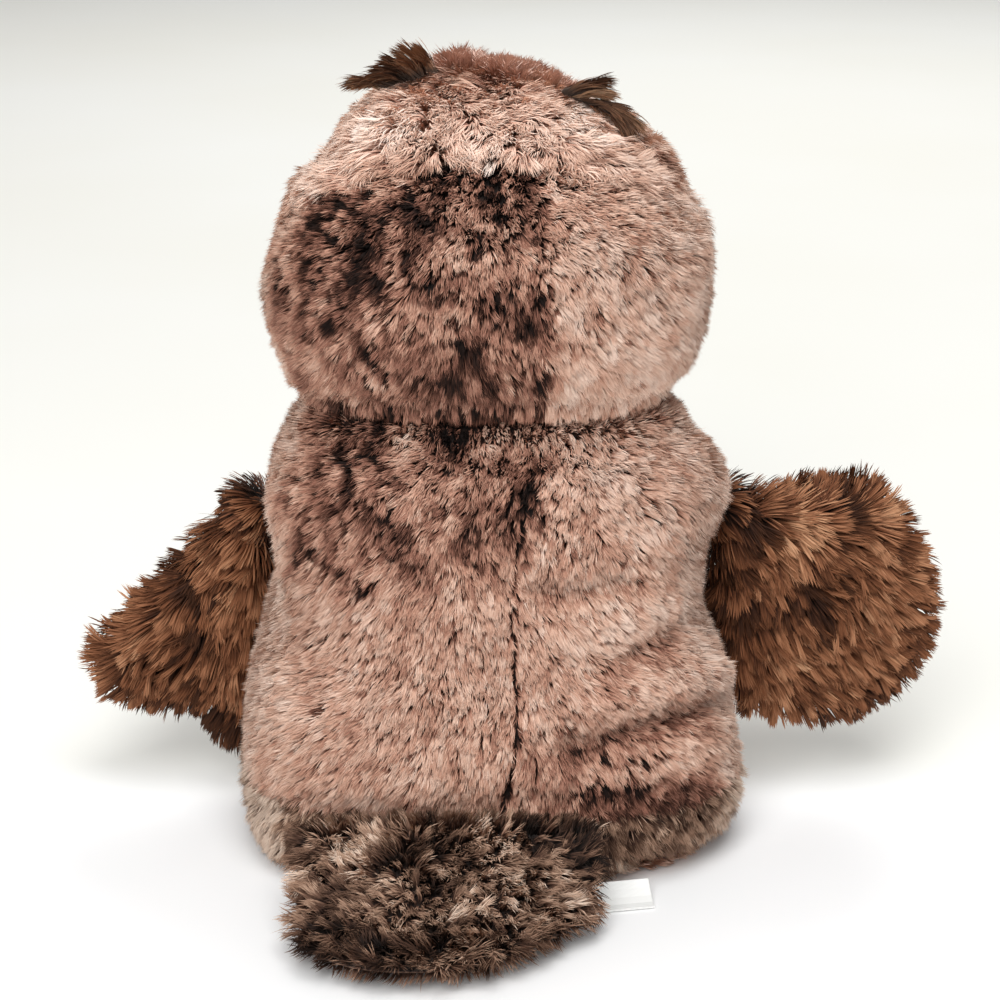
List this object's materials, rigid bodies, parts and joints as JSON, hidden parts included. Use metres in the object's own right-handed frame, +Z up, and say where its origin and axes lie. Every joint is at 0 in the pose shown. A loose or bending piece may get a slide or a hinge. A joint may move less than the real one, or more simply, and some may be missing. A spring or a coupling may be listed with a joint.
{
  "type": "plush owl",
  "caption": "Stuffed owl of frosted plush that sits upright on a weighted flat seat, with a turning head, shaggy hanging wings, a short flap tail and round feet.",
  "frame": {"origin": "middle of the seat's flat underside, on the table", "axes": "+Z up through the head, -Y the way the face looks, +X to the owl's own left"},
  "size_m": [0.2861, 0.2132, 0.2643],
  "materials": {
    "frosted_fur": "short frosted plush pile with dark roots and pale tips",
    "mottled_fur": "dark mottled plush pile",
    "cream_fur": "cream and pink plush pile",
    "shaggy_fur": "long brown shaggy pile",
    "dark_tuft_fur": "long dark pile",
    "disc_plush": "short pale plush",
    "beak_felt": "dense ochre felt",
    "foot_plush": "short tan plush",
    "fibre_fill": "loose white polyester fibre",
    "pouch_cloth": "plain woven cloth over pellets",
    "eye_plastic": "polished dark brown",
    "washer_plastic": "plain white",
    "tab_satin": "smooth white satin, blank"
  },
  "bodies": {
    "torso": {"belly_panel": "cream_fur", "body_back_left_panel": "frosted_fur", "body_back_right_panel": "frosted_fur", "rump_panel": "mottled_fur", "seat_panel": "shaggy_fur", "pellet_pouch": "pouch_cloth", "body_filling": "fibre_fill", "sewn_in_tab": "tab_satin"},
    "neck": {"neck_filling": "fibre_fill"},
    "head": {"head_back_left_panel": "frosted_fur", "head_back_right_panel": "frosted_fur", "head_face_panel": "cream_fur", "head_side_left_panel": "cream_fur", "head_side_right_panel": "cream_fur", "crown_panel": "cream_fur", "head_filling": "fibre_fill", "facial_disc_left": "disc_plush", "facial_disc_right": "disc_plush", "eye_left": "eye_plastic", "eye_right": "eye_plastic", "eye_washer_left": "washer_plastic", "eye_washer_right": "washer_plastic", "beak": "beak_felt", "brow_ruffle": "frosted_fur", "ear_tuft_left": "dark_tuft_fur", "ear_tuft_right": "dark_tuft_fur"},
    "wing_left_base": {"wing_left_root": "shaggy_fur"},
    "wing_left": {"wing_left_back_skin": "shaggy_fur", "wing_left_front_skin": "shaggy_fur", "wing_left_filling": "fibre_fill"},
    "wing_right_base": {"wing_right_root": "shaggy_fur"},
    "wing_right": {"wing_right_back_skin": "shaggy_fur", "wing_right_front_skin": "shaggy_fur", "wing_right_filling": "fibre_fill"},
    "tail": {"tail_top_skin": "mottled_fur", "tail_under_skin": "cream_fur", "tail_filling": "fibre_fill"},
    "foot_left_body": {"foot_left": "foot_plush"},
    "foot_right_body": {"foot_right": "foot_plush"}
  },
  "joints": [
    {"name": "head_turn", "type": "hinge", "parent": "torso", "child": "neck", "pos_m": [0, 0, 0.148], "axis": [0, 0, 1], "range_deg": [-12, 12], "stiffness_Nm_per_rad": 0.2},
    {"name": "head_nod", "type": "hinge", "parent": "neck", "child": "head", "pos_m": [0, 0, 0.148], "axis": [1, 0, 0], "range_deg": [-8, 8], "stiffness_Nm_per_rad": 0.6},
    {"name": "wing_left_swing", "type": "hinge", "parent": "torso", "child": "wing_left_base", "pos_m": [0.07912, -0.01955, 0.10327], "axis": [0, 0, 1], "range_deg": [-35, 45], "stiffness_Nm_per_rad": 0.05},
    {"name": "wing_left_flap", "type": "hinge", "parent": "wing_left_base", "child": "wing_left", "pos_m": [0.07912, -0.01955, 0.10327], "axis": [0, -1, 0], "range_deg": [0, 70], "stiffness_Nm_per_rad": 0.03},
    {"name": "wing_right_swing", "type": "hinge", "parent": "torso", "child": "wing_right_base", "pos_m": [-0.07912, -0.01955, 0.10327], "axis": [0, 0, -1], "range_deg": [-35, 45], "stiffness_Nm_per_rad": 0.05},
    {"name": "wing_right_flap", "type": "hinge", "parent": "wing_right_base", "child": "wing_right", "pos_m": [-0.07912, -0.01955, 0.10327], "axis": [0, 1, 0], "range_deg": [0, 60], "stiffness_Nm_per_rad": 0.03},
    {"name": "tail_lift", "type": "hinge", "parent": "torso", "child": "tail", "pos_m": [0.013, 0.07156, 0.0259], "axis": [1, 0, 0], "range_deg": [0, 55], "stiffness_Nm_per_rad": 0.02},
    {"name": "foot_left_lift", "type": "hinge", "parent": "torso", "child": "foot_left_body", "pos_m": [0.03092, -0.06755, 0.0084], "axis": [-0.9962, -0.0876, 0], "range_deg": [0, 28], "stiffness_Nm_per_rad": 0.01},
    {"name": "foot_right_lift", "type": "hinge", "parent": "torso", "child": "foot_right_body", "pos_m": [-0.03092, -0.06755, 0.0084], "axis": [-0.9962, 0.0876, 0], "range_deg": [0, 28], "stiffness_Nm_per_rad": 0.01}
  ]
}
